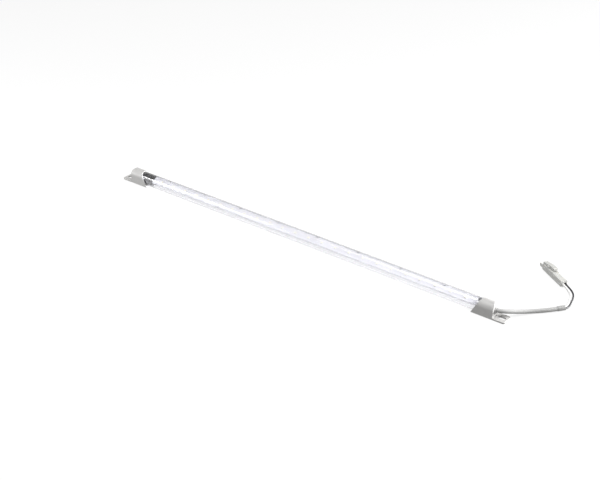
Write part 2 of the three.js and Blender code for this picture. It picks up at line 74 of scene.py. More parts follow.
def shell(rings, loop=False, poles=(None, None)):
    """Surface through closed rings of points: each ring is joined to the next by quads. With loop
    the last ring is joined to the first. A pole closes that end with a fan of triangles."""
    rings = np.asarray(rings, float)
    count, around, _ = rings.shape
    grid = np.arange(count * around).reshape(count, around)
    turned = np.roll(grid, -1, axis=1)
    rows = np.arange(count if loop else count - 1)
    after = (rows + 1) % count
    quads = np.stack([grid[rows], turned[rows], turned[after], grid[after]], -1).reshape(-1, 4)
    faces, owners = quads.tolist(), np.repeat(rows, around).tolist()
    points = rings.reshape(-1, 3)
    for end, pole in enumerate(poles):
        if pole is not None:
            row = 0 if end == 0 else count - 1
            hub = np.full(around, len(points))
            points = np.vstack([points, np.asarray(pole, float)])
            pair = (turned[row], grid[row]) if end == 0 else (grid[row], turned[row])
            faces += np.stack([*pair, hub], -1).tolist()
            owners += [row] * around
    fans = [[f[0], f[k], f[k + 1]] for f in faces for k in range(1, len(f) - 1)]
    a, b, c = (points[np.array(fans)[:, k]] for k in range(3))
    volume = np.einsum("ij,ij->i", a, np.cross(b, c)).sum()
    if volume < 0:
        faces = [f[::-1] for f in faces]
    return points, faces, np.array(owners)


def make(name, shells, materials, body="lamp", stands_for=(), sharp=35.0, paint=None):
    """One mesh object from shells in millimetres. paint gives each shell's material number, or a
    function from ring number to material number. Edges sharper than the limit stay crisp."""
    points, faces, numbers, start = [], [], [], 0
    for index, (shell_points, shell_faces, owners) in enumerate(shells):
        points.append(shell_points)
        faces += [[corner + start for corner in face] for face in shell_faces]
        start += len(shell_points)
        rule = paint[index] if paint else 0
        numbers.append(rule(owners) if callable(rule) else np.full(len(owners), rule))
    mesh = bpy.data.meshes.new(name)
    mesh.from_pydata((np.vstack(points) * MM).tolist(), [], faces)
    for material in materials:
        mesh.materials.append(material)
    mesh.polygons.foreach_set("material_index", np.concatenate(numbers).astype(np.int32))
    mesh.polygons.foreach_set("use_smooth", np.ones(len(faces), bool))
    mesh.set_sharp_from_angle(angle=math.radians(sharp))
    mesh.update()
    made = bpy.data.objects.new(name, mesh)
    bpy.context.collection.objects.link(made)
    even = made.modifiers.new("even_shading", "WEIGHTED_NORMAL")
    even.keep_sharp = True
    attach(made, body)
    if stands_for:
        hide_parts(*stands_for)
    return made


def finish(name, color, roughness, **sockets):
    """A Principled material with the given constants on its own sockets."""
    made = bpy.data.materials.new(name)
    made.use_nodes = True
    shader = made.node_tree.nodes["Principled BSDF"]
    shader.inputs["Base Color"].default_value = (*color, 1)
    shader.inputs["Roughness"].default_value = roughness
    for socket, value in sockets.items():
        shader.inputs[socket.replace("_", " ")].default_value = value
    return made


def add(made, kind, into=None, settings=None, **inputs):
    """A node of this kind in the material. An input given as (node, socket) is linked; into names
    the shader's socket that the node's first output feeds."""
    tree = made.node_tree
    node = tree.nodes.new("ShaderNode" + kind)
    for key, value in (settings or {}).items():
        setattr(node, key, value)
    for key, value in inputs.items():
        socket = node.inputs[int(key[1:])] if key[1:].isdigit() else node.inputs[key.replace("_", " ")]
        if isinstance(value, tuple) and hasattr(value[0], "outputs"):
            tree.links.new(value[0].outputs[value[1]], socket)
        else:
            socket.default_value = value
    if into:
        tree.links.new(node.outputs[0], tree.nodes["Principled BSDF"].inputs[into])
    return node


def lit_through(made, tint):
    """Lets the lamps' light through a clear material: rays towards a lamp meet a tinted
    Transparent shader, all others meet the Principled one."""
    tree = made.node_tree
    veil = add(made, "BsdfTransparent", Color=(*tint, 1))
    choice = add(made, "MixShader", _0=(add(made, "LightPath"), "Is Shadow Ray"),
                 _1=(tree.nodes["Principled BSDF"], 0), _2=(veil, 0))
    tree.links.new(choice.outputs[0], tree.nodes["Material Output"].inputs["Surface"])


def ramped(made, factor, dark, light, low, high):
    """Base colour that goes from dark to light while the factor goes from low to high."""
    ends = add(made, "ValToRGB", into="Base Color", Fac=factor).color_ramp.elements
    for end, position, color in zip(ends, (low, high), (dark, light)):
        end.position = position
        end.color = (*color, 1)


def grained(made, dark, light, scale, bump, detail=4.0, rough=None):
    """A fine bump from noise on Object coordinates, with roughness that follows it between two
    values, and a cloudy change between two near colours from much coarser noise."""
    place = (add(made, "TexCoord"), "Object")
    fine = add(made, "TexNoise", Vector=place, Scale=scale, Detail=detail, Roughness=0.6)
    add(made, "Bump", into="Normal", Strength=bump, Distance=0.0001, Height=(fine, 0))
    if dark:
        clouds = add(made, "TexNoise", Vector=place, Scale=scale * 0.13, Detail=3.0)
        ramped(made, (clouds, 0), dark, light, 0.3, 0.7)
    if rough:
        add(made, "MapRange", into="Roughness", Value=(fine, 0), To_Min=rough[0], To_Max=rough[1])


def rounded(half_x, half_y, corner, steps=5):
    """Rounded rectangle round the origin: quarter circles at the four corners."""
    turn = np.linspace(0, math.pi / 2, steps + 1)
    quarter = np.concatenate([turn + k * math.pi / 2 for k in range(4)])
    sign = np.repeat([[1, 1], [-1, 1], [-1, -1], [1, -1]], steps + 1, axis=0)
    return sign * (np.array([half_x, half_y]) - corner) + corner * np.stack(
        [np.cos(quarter), np.sin(quarter)], -1)


def slab(low, high, edge, along="z", steps=3):
    """Box between two corners with every edge rounded: rounded-rectangle rings that shrink by
    1 - cos towards both ends while they move in by sin, closed by a fan at each end."""
    low, high = np.array(low, float), np.array(high, float)
    middle, half = (low + high) / 2, (high - low) / 2
    turn = np.linspace(0, math.pi / 2, steps + 1)
    order = {"z": (0, 1, 2), "x": (1, 2, 0), "y": (2, 0, 1)}[along]
    rings = []
    for end in (-1, 1):
        for angle in (turn if end < 0 else turn[::-1]):
            inset, rise = edge * (1 - math.sin(angle)), edge * (1 - math.cos(angle))
            flat = rounded(*(half[list(order[:2])] - inset), edge - inset, steps)
            ring = np.empty((len(flat), 3))
            ring[:, order[0]], ring[:, order[1]] = flat.T
            ring[:, order[2]] = end * (half[order[2]] - rise)
            rings.append(ring + middle)
    reach = half * (np.arange(3) == order[2])
    return shell(rings, poles=(middle - reach, middle + reach))


def corners(node):
    """Lowest and highest corner of a CAD node, in millimetres."""
    return tuple(np.array(c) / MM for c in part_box(node))


board_low, board_high = corners("led_board")
mask = finish("white_solder_mask", (0.41, 0.41, 0.42), 0.35, Coat_Weight=0.15, Coat_Roughness=0.2)
grained(mask, None, None, 900, 0.08)
across_board = add(mask, "SeparateXYZ", Vector=(add(mask, "TexCoord"), "Object"))
TRACK_PITCH = 1.6
tracks = add(mask, "Math", settings={"operation": "PINGPONG"}, _0=(across_board, "Y"), _1=TRACK_PITCH * MM)
track_edge = add(mask, "MapRange", Value=(tracks, 0), From_Min=0.1 * MM, From_Max=0.25 * MM)
ramped(mask, (track_edge, 0), (0.38, 0.38, 0.385), (0.42, 0.42, 0.43), 0.0, 1.0)
make("led_board", [slab(board_low, board_high, 0.08, "x", 2)], [mask],
     stands_for=["led_board"])

# ---------------------------------------------------------------- LEDs
# Surface-mount packages in a row: a white moulded body with a yellow phosphor window sunk into
# its top, one clipped corner, and a tinned terminal block at each end.
moulding = finish("led_moulding", (0.48, 0.48, 0.465), 0.4)
grained(moulding, (0.46, 0.46, 0.445), (0.51, 0.51, 0.495), 2500, 0.1)
phosphor = finish("led_phosphor", (0.54, 0.50, 0.33), 0.3, Subsurface_Weight=0.2)
phosphor.node_tree.nodes["Principled BSDF"].inputs["Subsurface Radius"].default_value = (
    0.0004, 0.0003, 0.0001)
grained(phosphor, (0.50, 0.46, 0.29), (0.58, 0.54, 0.38), 9000, 0.15)
tin = finish("bright_tin", (0.72, 0.72, 0.74), 0.25, Metallic=1.0)
grained(tin, (0.66, 0.66, 0.68), (0.78, 0.78, 0.80), 3000, 0.15, rough=(0.18, 0.36))


TERMINAL_REACH = 0.62
WINDOW_RING = 7


def led_shells(centre, level, size):
    """Package: rings up the slightly tapered side, over a rounded rim, down the window's wall and
    over the shallow dome of phosphor, from the window's first ring inwards. A rounded terminal
    block reaches under it from each end."""
    length, width, height = size
    body = length / 2 - 0.12
    plan = [
        (body, width / 2 - 0.02, 0.12, 0.08), (body, width / 2, 0.12, 0.14),
        (body - 0.05, width / 2 - 0.05, 0.15, height - 0.08),
        (body - 0.12, width / 2 - 0.12, 0.15, height - 0.01),
        (body - 0.18, width / 2 - 0.18, 0.18, height),
        (body - 0.34, width / 2 - 0.30, 0.45, height),
        (body - 0.38, width / 2 - 0.34, 0.45, height - 0.02),
        (body - 0.46, width / 2 - 0.42, 0.42, height - 0.12),
        (body * 0.5, width * 0.22, 0.3, height - 0.08),
        (body * 0.2, width * 0.1, 0.12, height - 0.06),
    ]
    rings = [np.column_stack([rounded(a, b, c), np.full(24, z)]) for a, b, c, z in plan]
    for ring in rings[:5]:
        clipped = (ring[:, 0] + ring[:, 1]) > body + width / 2 - 0.5
        ring[clipped, 0] -= 0.16
        ring[clipped, 1] -= 0.16
    base = np.array([centre[0], centre[1], level])
    package = shell(np.array(rings) + base, poles=(base + [0, 0, 0.08], base + [0, 0, height - 0.05]))
    parts, paint = [package], [lambda ring: np.where(ring >= WINDOW_RING, 1, 0)]
    for side in (-1, 1):
        outer = centre[0] + side * length / 2
        inner = centre[0] + side * (length / 2 - TERMINAL_REACH)
        low = (min(outer, inner), centre[1] - width * 0.36, level)
        high = (max(outer, inner), centre[1] + width * 0.36, level + 0.2)
        parts.append(slab(low, high, 0.05))
        paint.append(2)
    return parts, paint


led_names = sorted(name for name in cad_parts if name.startswith("led_") and name[4:].isdigit())
for name in led_names:
    low, high = corners(name)
    parts, paint = led_shells((low + high) / 2, low[2], high - low)
    make(name + "_package", parts, [moulding, phosphor, tin], stands_for=[name],
         paint=paint)

# ---------------------------------------------------------------- resistors
# Thick-film chips beside the row, one for each three LEDs: a pale ceramic core with black glaze on
# top and tinned ends that wrap round it.
glaze = finish("black_glaze", (0.10, 0.10, 0.105), 0.25, Coat_Weight=0.4, Coat_Roughness=0.15)
grained(glaze, (0.08, 0.08, 0.085), (0.14, 0.14, 0.145), 5000, 0.15)
ceramic = finish("pale_ceramic", (0.70, 0.69, 0.66), 0.55)
grained(ceramic, (0.64, 0.63, 0.60), (0.74, 0.73, 0.70), 4000, 0.2)
END_WRAP = 0.46
for name in sorted(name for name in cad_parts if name.startswith("resistor_")):
    low, high = corners(name)
    core = slab(low + [0.06, 0.05, 0.05], high - [0.06, 0.05, 0.06], 0.04)
    top = slab([low[0] + 0.5, low[1] + 0.08, high[2] - 0.1],
               [high[0] - 0.5, high[1] - 0.08, high[2] - 0.02], 0.03)
    ends = [slab(low, [low[0] + END_WRAP, high[1], high[2]], 0.05),
            slab([high[0] - END_WRAP, low[1], low[2]], high, 0.05)]
    make(name + "_chip", [core, top, *ends], [ceramic, glaze, tin], stands_for=[name],
         paint=[0, 1, 2, 2])

# ---------------------------------------------------------------- clear tube
# Extruded clear polycarbonate with a satin skin: an arched closed section with a thin ledge inside
# along each wall, which carries the board. Faint die lines run along it.
FLOOR_THICK = 2.0
CAP_LOW, CAP_HIGH = corners("left_end_cap")
CAP_HALF = (CAP_HIGH[1] - CAP_LOW[1]) / 2
CAP_TOP = CAP_HIGH[2]


def arc(centre, radius, start, stop, count):
    """Points round a circle in (Y, Z) between two angles in degrees, without the last one."""
    angle = np.radians(np.linspace(start, stop, count, endpoint=False))
    return np.column_stack([centre[0] + radius * np.cos(angle), centre[1] + radius * np.sin(angle)])


def line(start, stop, count):
    """Evenly spaced points from start towards stop, without the last one."""
    return np.linspace(start, stop, count, endpoint=False)


def arch(half, low, high, corner, inset=0.0):
    """Closed section in (Y, Z): flat bottom, two lower corners, straight sides and a half circle
    round (0, high - half). Each stretch has a fixed number of points, so that sections match."""
    half, low, high = half - inset, low + inset, high - inset
    corner = max(corner - inset, 0.02)
    spring = high - half
    return np.vstack([
        line((0, low), (half - corner, low), 8),
        arc((half - corner, low + corner), corner, -90, 0, 6),
        line((half, low + corner), (half, spring), 10),
        arc((0, spring), half, 0, 180, 56),
        line((-half, spring), (-half, low + corner), 10),
        arc((-half + corner, low + corner), corner, 180, 270, 6),
        line((-half + corner, low), (0, low), 8),
    ])


def ledged(half, low, high, corner, board_bottom, gap=0.1, depth=1.0, rib=0.7):
    """The inner arched section with its two ledges: on each side the wall steps in by the ledge's
    depth below the board. It has as many points as the plain section."""
    spring = high - half
    z0, z1 = board_bottom - gap - rib, board_bottom - gap
    far = half - depth
    right = np.array([
        (half, z0 - 0.6), (half, z0 - 0.12), (half - 0.12, z0), (far + 0.15, z0), (far, z0 + 0.15),
        (far, z1 - 0.15), (far + 0.15, z1), (half - 0.05, z1), (half, z1 + 0.05), (half, spring - 0.3)])
    left = right[::-1] * [-1, 1]
    return np.vstack([
        line((0, low), (half - corner, low), 8),
        arc((half - corner, low + corner), corner, -90, 0, 6),
        right,
        arc((0, spring), half, 0, 180, 56),
        left,
        arc((-half + corner, low + corner), corner, 180, 270, 6),
        line((-half + corner, low), (0, low), 8),
    ])


def run(section, places):
    """The section repeated at each place along X."""
    return [np.column_stack([np.full(len(section), x), section]) for x in places]


tube_low, tube_high = corners("clear_tube")
tube_outer = dict(half=(tube_high[1] - tube_low[1]) / 2, low=tube_low[2], high=tube_high[2], corner=2.8)
TUBE_WALL = 0.9
INNER_CORNER = 1.9
inner_half = tube_outer["half"] - TUBE_WALL
tube_inner = dict(half=inner_half, low=tube_low[2] + TUBE_WALL, high=tube_high[2] - TUBE_WALL,
                  corner=INNER_CORNER)
inside = ledged(**tube_inner, board_bottom=board_low[2])
outside = arch(**tube_outer)
TUBE_EDGE = 0.08
edge_in = arch(**tube_outer, inset=TUBE_EDGE)
stations = np.linspace(tube_low[0] + TUBE_EDGE, tube_high[0] - TUBE_EDGE, 25)
tube_rings = (
    run(inside, stations[::-1]) + run(inside, [tube_low[0]]) + run(edge_in, [tube_low[0]])
    + run(outside, stations) + run(edge_in, [tube_high[0]]) + run(inside, [tube_high[0]]))
clear = finish("satin_polycarbonate", (0.975, 0.975, 0.99), 0.18, Transmission_Weight=1.0, IOR=1.5)
place = add(clear, "TexCoord")
drawn = add(clear, "Mapping", Vector=(place, "Object"), Scale=(0.6, 1, 1))
die_lines = add(clear, "TexNoise", Vector=(drawn, 0), Scale=420.0, Detail=3.0)
add(clear, "Bump", into="Normal", Strength=0.06, Distance=0.0001, Height=(die_lines, 0))
wiped = add(clear, "TexNoise", Vector=(place, "Object"), Scale=60.0, Detail=4.0)
add(clear, "MapRange", into="Roughness", Value=(wiped, 0), To_Min=0.14, To_Max=0.24)
lit_through(clear, (0.92, 0.92, 0.935))
make("clear_tube_drawn", [shell(tube_rings, loop=True)], [clear], stands_for=["clear_tube"])

# ---------------------------------------------------------------- potting
# Clear silicone resin poured over the board, so that the arch above it is solid. It wets the board
# and the components, with no film of air between, and acts as a strong lens over them.
pot_low, pot_high = corners("board_potting")
pot_half = inner_half - 0.05
pot_under = board_high[2] - 0.03


def potted(inset):
    """Half-moon section: an arc over the board and a flat underside just within its top face."""
    spring = tube_high[2] - TUBE_WALL - inner_half
    over = arc((0, spring), pot_half - inset, 1, 179, 64)
    side = (pot_half - inset) * math.cos(math.radians(1))
    low = pot_under + inset
    return np.vstack([over, line((-side, over[0, 1]), (-side, low + 0.05), 2),
                      line((-side + 0.05, low), (side - 0.05, low), 16),
                      line((side, low + 0.05), (side, over[0, 1]), 2)])


POT_EDGE = 0.1
pot_rings = (
    run(potted(POT_EDGE), [pot_low[0]])
    + run(potted(0.0), np.linspace(pot_low[0] + POT_EDGE, pot_high[0] - POT_EDGE, 24))
    + run(potted(POT_EDGE), [pot_high[0]]))
middle_up = (pot_under + pot_high[2]) / 2
resin = finish("clear_resin", (0.97, 0.97, 0.985), 0.1, Transmission_Weight=1.0, IOR=1.42)
set_in = add(resin, "TexNoise", Vector=(add(resin, "TexCoord"), "Object"), Scale=90.0, Detail=3.0)
add(resin, "MapRange", into="Roughness", Value=(set_in, 0), To_Min=0.08, To_Max=0.16)
add(resin, "Bump", into="Normal", Strength=0.04, Distance=0.0001, Height=(set_in, 0))
lit_through(resin, (0.92, 0.92, 0.935))
pot_ends = ((pot_low[0], 0, middle_up), (pot_high[0], 0, middle_up))
make("board_potting_cast", [shell(pot_rings, poles=pot_ends)], [resin],
     stands_for=["board_potting"])

# ---------------------------------------------------------------- end dam
# A block of closed-cell silicone foam in the tube's blank end, level with the board, which holds the
# poured resin back. Its near-black colour is painted shade: it stands in for the shade inside the
# cap's mouth and shows dark through the resin from inside the cap to the board's end. Its top edge is
# squeezed out over the ledges to the board's width, which spreads the painted shade wider.
foam = finish("dark_foam", (0.05, 0.05, 0.052), 0.85)
grained(foam, (0.045, 0.045, 0.047), (0.095, 0.095, 0.098), 1900, 0.6, detail=6.0)
pores = add(foam, "TexVoronoi", Vector=(add(foam, "TexCoord"), "Object"), Scale=1400.0)
add(foam, "MapRange", into="Roughness", Value=(pores, "Distance"), To_Min=0.75, To_Max=0.98)
dam_low, dam_high = corners("end_dam")
dam_block = slab(dam_low, dam_high, 0.25, "x")
dam_lip = slab((dam_low[0], board_low[1], board_low[2] + 0.05),
               (dam_high[0], board_high[1], dam_high[2]), 0.2, "x")
make("end_dam_painted_shade", [dam_block, dam_lip], [foam], stands_for=["end_dam"])

# ---------------------------------------------------------------- gaskets
# Soft grey silicone rings with the tube's own section, squeezed between the tube's ends and the
# shoulders inside the caps.
silicone = finish("grey_silicone", (0.40, 0.40, 0.39), 0.65)
grained(silicone, (0.37, 0.37, 0.36), (0.43, 0.43, 0.42), 1500, 0.25)
GASKET_EDGE = 0.2
for name in ("left_gasket", "right_gasket"):
    low, high = corners(name)
    first, last = low[0], high[0]
    rings = (
        run(arch(**tube_inner), [last - GASKET_EDGE, first + GASKET_EDGE])
        + run(arch(**tube_outer, inset=0.7), [first]) + run(arch(**tube_outer, inset=GASKET_EDGE), [first])
        + run(arch(**tube_outer), [first + GASKET_EDGE, last - GASKET_EDGE])
        + run(arch(**tube_outer, inset=GASKET_EDGE), [last]) + run(arch(**tube_outer, inset=0.7), [last]))
    make(name + "_ring", [shell(rings, loop=True)], [silicone], stands_for=[name])

# ---------------------------------------------------------------- end caps
# Injection-moulded light grey plastic: an arched socket for the tube with a leaning mouth, closed
# behind, on a flat ear with a slot for the screw. The mould's skin is a fine spark-eroded grain.
EAR_LENGTH, END_WALL, END_ROUND, CHAMBER = 15.0, 1.6, 3.0, 7.3
LIP = 42.8
LEAN = 10.2
SOCKET = dict(half=7.0, low=2.0, high=17.6, corner=0.3)
ROOM = dict(half=5.8, low=3.2, high=16.4, corner=0.3)
HOLE_RADIUS, HOLE_HEIGHT = 3.7, 9.272
POLE_RADIUS = 0.4
END_EDGE, LIP_EDGE = 0.4, 0.15
cap_plastic = finish("cap_plastic", (0.49, 0.485, 0.477), 0.42)
grained(cap_plastic, (0.475, 0.47, 0.462), (0.505, 0.50, 0.492), 1700, 0.22, detail=6.0, rough=(0.36, 0.52))


def closed_end(z):
    """Where the cap's closed end lies at this height: flat, then a quarter circle over the top."""
    over = np.clip(z - (CAP_TOP - END_ROUND), 0, END_ROUND)
    return EAR_LENGTH + END_ROUND - np.sqrt(np.maximum(END_ROUND**2 - over**2, 0))


def mouth(z):
    """Where the cap's mouth lies at this height: it leans back in a straight line."""
    return LIP - LEAN * z / CAP_TOP


def hole_ring(radius, like):
    """Circle round the lead's hole, each point in line with that point of a section."""
    away = like - [0, HOLE_HEIGHT]
    return [0, HOLE_HEIGHT] + radius * away / np.linalg.norm(away, axis=1, keepdims=True)


def cap_body(with_lead):
    """Rings from the middle of the closed end outwards, over its rounded edge, along the side,
    round the mouth's lip, back along the socket, over the gasket's shoulder and into the wiring
    space, ending at the hole or at a pole behind the closed end."""
    outer = dict(half=CAP_HALF, low=0.0, high=CAP_TOP, corner=0.35)
    hole = HOLE_RADIUS if with_lead else POLE_RADIUS
    rings = []

    def put(section, x):
        rings.append(np.column_stack([np.broadcast_to(x, len(section)), section]))

    rim = arch(**outer, inset=END_EDGE)
    start = hole_ring(hole, rim)
    for share in (0.0, 0.06, 0.3, 0.6, 0.85, 1.0):
        section = start + (rim - start) * share
        put(section, closed_end(section[:, 1]))
    for angle in np.radians([22.5, 45, 67.5, 90]):
        section = arch(**outer, inset=END_EDGE * (1 - math.sin(angle)))
        put(section, closed_end(section[:, 1]) + END_EDGE * (1 - math.cos(angle)))
    side = arch(**outer)
    for share in np.linspace(0.1, 1.0, 7):
        near, far = closed_end(side[:, 1]) + END_EDGE, mouth(side[:, 1]) - LIP_EDGE
        put(side, near + (far - near) * share)
    for angle in np.radians([30, 60, 90]):
        section = arch(**outer, inset=LIP_EDGE * (1 - math.cos(angle)))
        put(section, mouth(section[:, 1]) - LIP_EDGE * (1 - math.sin(angle)))
    for angle in np.radians([0, 30, 60, 90]):
        section = arch(**SOCKET, inset=-LIP_EDGE * (1 - math.sin(angle)))
        put(section, mouth(section[:, 1]) - LIP_EDGE * (1 - math.cos(angle)))
    socket, room = arch(**SOCKET), arch(**ROOM)
    shoulder = EAR_LENGTH + END_WALL + CHAMBER
    near = mouth(socket[:, 1]) - LIP_EDGE
    for share in (0.3, 0.7, 1.0):
        put(socket, near + (shoulder - near) * share)
    put(room, shoulder)
    put(room, EAR_LENGTH + END_WALL)
    finish_ring = hole_ring(hole, room)
    for share in (0.5, 1.0):
        put(room + (finish_ring - room) * share, EAR_LENGTH + END_WALL)
    if with_lead:
        return shell(rings, loop=True)
    return shell(rings, poles=(
        (EAR_LENGTH, 0, HOLE_HEIGHT), (EAR_LENGTH + END_WALL, 0, HOLE_HEIGHT)))


def round_from(outline, centre, count=144):
    """A closed outline read again at even angles round a point inside it."""
    away = outline - centre
    angle = np.arctan2(away[:, 1], away[:, 0])
    order = np.argsort(angle)
    wanted = np.linspace(-math.pi, math.pi, count, endpoint=False)
    radius = np.interp(wanted, angle[order], np.hypot(*away.T)[order], period=2 * math.pi)
    return centre + radius[:, None] * np.column_stack([np.cos(wanted), np.sin(wanted)])


EAR_CORNER = 2.2
TOP_EDGE, FOOT_EDGE = 0.3, 0.15
SLOT_MIDDLE, SLOT_SHIFT, SLOT_RADIUS = 7.0, 2.0, 2.5


def ear_outline(inset):
    """The ear from above: a strip with two rounded corners at its tip, which ends in the cap."""
    x0, x1, y = inset, EAR_LENGTH + 0.4, CAP_HALF - inset
    corner = EAR_CORNER - inset
    turn = np.radians(np.linspace(0, 90, 60))
    tip = np.column_stack([x0 + corner - corner * np.sin(turn), -y + corner - corner * np.cos(turn)])
    straight = np.linspace(0, 1, 400)[:, None]
    ways = [
        tip, (x0, -y + corner) + straight * np.array([0, 2 * (y - corner)]), (tip * [1, -1])[::-1],
        (x0 + corner, y) + straight * np.array([x1 - x0 - corner, 0]),
        (x1, y) + straight * np.array([0, -2 * y]),
        (x1, -y) + straight * np.array([x0 + corner - x1, 0])]
    return np.vstack(ways)


def slot_outline(grow):
    """The slot from above: two half circles, each shifted out from the slot's middle, joined by
    straight sides."""
    radius = SLOT_RADIUS + grow
    turn = np.radians(np.linspace(-90, 90, 200))
    half = np.column_stack([SLOT_SHIFT + radius * np.cos(turn), radius * np.sin(turn)])
    straight = np.linspace(SLOT_SHIFT, -SLOT_SHIFT, 200)
    flat = np.column_stack([straight, np.full(200, radius)])
    return np.vstack([half, flat, -half, -flat]) + [SLOT_MIDDLE, 0]


def ear():
    """Rings up the slot's wall, over its edge, out across the top, over the rounded outer edge,
    down the side and back under the ear. The last ring joins the first."""
    centre = np.array([SLOT_MIDDLE, 0.0])
    rings = []

    def put(outline, z):
        flat = round_from(outline, centre)
        rings.append(np.column_stack([flat, np.full(len(flat), z)]))

    for grow, z in ((0.0, 0.25), (0.0, FLOOR_THICK - 0.25), (0.07, FLOOR_THICK - 0.07), (0.25, FLOOR_THICK)):
        put(slot_outline(grow), z)
    for angle in np.radians([0, 30, 60, 90]):
        put(ear_outline(TOP_EDGE * (1 - math.sin(angle))), FLOOR_THICK - TOP_EDGE * (1 - math.cos(angle)))
    for angle in np.radians([0, 45, 90]):
        put(ear_outline(FOOT_EDGE * (1 - math.cos(angle))), FOOT_EDGE * (1 - math.sin(angle)))
    put(slot_outline(FOOT_EDGE), 0.0)
    return shell(rings, loop=True)


for name, with_lead in (("left_end_cap", False), ("right_end_cap", True)):
    way = -1.0 if with_lead else 1.0
    tip = corners(name)[1][0] if with_lead else corners(name)[0][0]
    parts = [(points * [way, way, 1] + [tip, 0, 0], faces, owners)
             for points, faces, owners in (cap_body(with_lead), ear())]
    make(name + "_moulded", parts, [cap_plastic], stands_for=[name], sharp=40)

# ---------------------------------------------------------------- grommet and strain tie
# A light grey rubber bush sits in the hole of the cap's closed end. Behind it, in the wiring space,
# a nylon tie is drawn round the jacket, too thick to pass through the hole.
rubber = finish("grommet_rubber", (0.44, 0.437, 0.43), 0.6)
grained(rubber, (0.42, 0.417, 0.41), (0.46, 0.457, 0.45), 1400, 0.25)


def turned(profile, origin, sides=48, direction=(1, 0, 0)):
    """A profile of (radius, distance) carried round an axis that starts at origin."""
    axis = np.array(direction, float) / np.linalg.norm(direction)
    across = np.cross([0, 0, 1.0], axis)
    across /= np.linalg.norm(across)
    upward = np.cross(axis, across)
    angle = np.linspace(0, 2 * math.pi, sides, endpoint=False)
    spoke = np.cos(angle)[:, None] * across + np.sin(angle)[:, None] * upward
    rings = [origin + radius * spoke + distance * axis for radius, distance in profile]
    return shell(rings, loop=True)


def softened(profile, radius, steps=3):
    """A closed profile with each of its corners rounded: a quadratic curve from a point before the
    corner to a point after it, with the corner as its middle control."""
    profile = np.array(profile, float)
    out = []
    for index, corner in enumerate(profile):
        before, after = profile[index - 1] - corner, profile[(index + 1) % len(profile)] - corner
        reach = min(radius, np.linalg.norm(before) * 0.45, np.linalg.norm(after) * 0.45)
        a = corner + before / np.linalg.norm(before) * reach
        b = corner + after / np.linalg.norm(after) * reach
        for t in np.linspace(0, 1, steps + 1):
            out.append((1 - t)**2 * a + 2 * t * (1 - t) * corner + t**2 * b)
    return out


grommet_low, grommet_high = corners("cable_grommet")
BORE, NECK, FLANGE, FLANGE_DEPTH = 2.8, 3.6, 4.5, 1.0
near, far = grommet_low[0], grommet_high[0]
grommet_profile = [
    (BORE, far), (BORE, near), (FLANGE, near), (FLANGE, near + FLANGE_DEPTH),
    (NECK, near + FLANGE_DEPTH), (NECK, far - FLANGE_DEPTH), (FLANGE, far - FLANGE_DEPTH), (4.0, far)]
lead_axis = np.array([0, 0, HOLE_HEIGHT])
make("cable_grommet_bush", [turned(softened(grommet_profile, 0.25), lead_axis)], [rubber],
     stands_for=["cable_grommet"])

nylon = finish("natural_nylon", (0.5, 0.5, 0.48), 0.42, Subsurface_Weight=0.15)
nylon.node_tree.nodes["Principled BSDF"].inputs["Subsurface Radius"].default_value = (
    0.0008, 0.0007, 0.0006)
grained(nylon, (0.48, 0.48, 0.46), (0.53, 0.53, 0.51), 1300, 0.18, rough=(0.34, 0.5))
tie_low, tie_high = corners("strain_tie")
TIE_OUTER = 3.6
tie_profile = [(BORE, tie_high[0]), (BORE, tie_low[0]), (TIE_OUTER, tie_low[0]), (TIE_OUTER, tie_high[0])]
make("strain_tie_band", [
    turned(softened(tie_profile, 0.2), lead_axis),
    slab([tie_low[0], -1.2, HOLE_HEIGHT + 3.2], [tie_high[0], 1.2, tie_high[2]], 0.25),
], [nylon], stands_for=["strain_tie"])

# ---------------------------------------------------------------- lead
# Light grey PVC jacket, 5 mm across, over two wires. It comes straight out of the grommet, bends
# down beside the ear and lies on the floor; a shrunk sleeve finishes its outer end.
EAR_TIP = corners("right_end_cap")[1][0]
JACKET_WIDTH = 5.0
SLEEVE_LYING = 2.95
JACKET_PLAN = [
    (-20.4, 0, 1, 0), (-17.4, 0, 1, 0), (-14.6, 0, 1, 0), (-12.4, 0.3, 1, 0), (-10.2, 1.3, 0.985, 0),
    (-8.0, 3.0, 0.94, 0), (-5.8, 5.2, 0.86, 0), (-3.5, 8.0, 0.75, 0), (-0.8, 11.8, 0.61, 0),
    (2.2, 16.2, 0.43, 0), (5.6, 21.0, 0.26, 0), (9.4, 26.1, 0.11, 0), (13.4, 30.8, 0.03, 0),
    (17.5, 34.9, 0, 0), (21.6, 38.9, 0, 0.1), (25.7, 42.9, 0, 0.4), (29.7, 47.2, 0, 0.8),
    (33.4, 51.6, 0, 1), (36.4, 55.4, 0, 1), (39.4, 59.2, 0, 1)]


def lifted(plan, lying, first, last):
    """Route points whose last two numbers are shares of the rise from where the cord lies to its
    first end's height and to its last end's height."""
    return [(x, y, lying + a * (first - lying) + b * (last - lying)) for x, y, a, b in plan]


